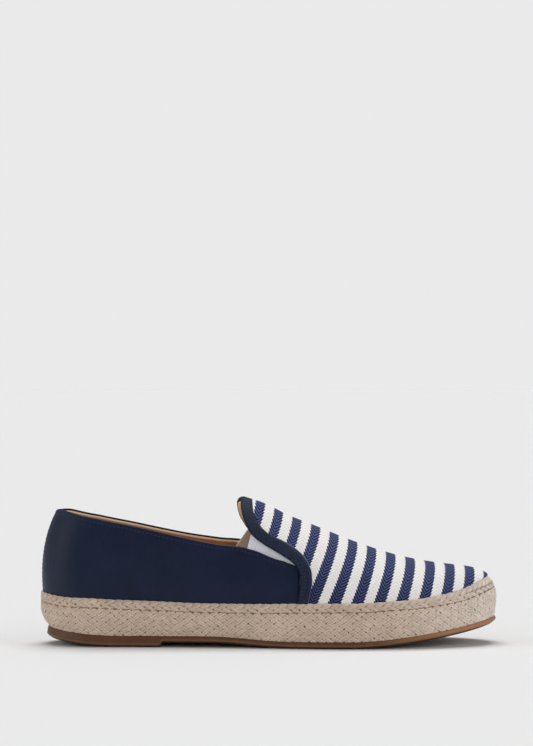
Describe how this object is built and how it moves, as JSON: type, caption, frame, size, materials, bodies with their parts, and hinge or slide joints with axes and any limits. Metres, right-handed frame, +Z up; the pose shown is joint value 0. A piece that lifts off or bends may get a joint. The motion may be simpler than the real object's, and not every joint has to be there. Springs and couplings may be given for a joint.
{
  "type": "espadrille",
  "caption": "Slip-on espadrille with a striped cloth vamp, plain leather quarters, elastic gores, a braided jute midsole and a thin rubber outsole with a low heel.",
  "frame": {"origin": "on the floor, under the middle of the sole's length and width", "axes": "+X from heel to toe, +Y to the inner side of the foot, +Z up"},
  "size_m": [0.288, 0.1039, 0.092],
  "materials": {
    "rubber_brown": "matt moulded rubber",
    "jute_natural": "flat-braided jute yarn",
    "leather_tan": "smooth lining leather",
    "leather_navy": "smooth leather with a fine grain and a soft sheen",
    "cloth_striped": "herringbone cloth in blue and white stripes",
    "elastic_white": "ribbed elastic"
  },
  "bodies": {
    "root": {"outsole": "rubber_brown", "jute_midsole": "jute_natural", "insole": "leather_tan", "upper": "leather_navy", "vamp_trim": "leather_navy", "gore_outer": "elastic_white", "gore_inner": "elastic_white"}
  },
  "joints": []
}
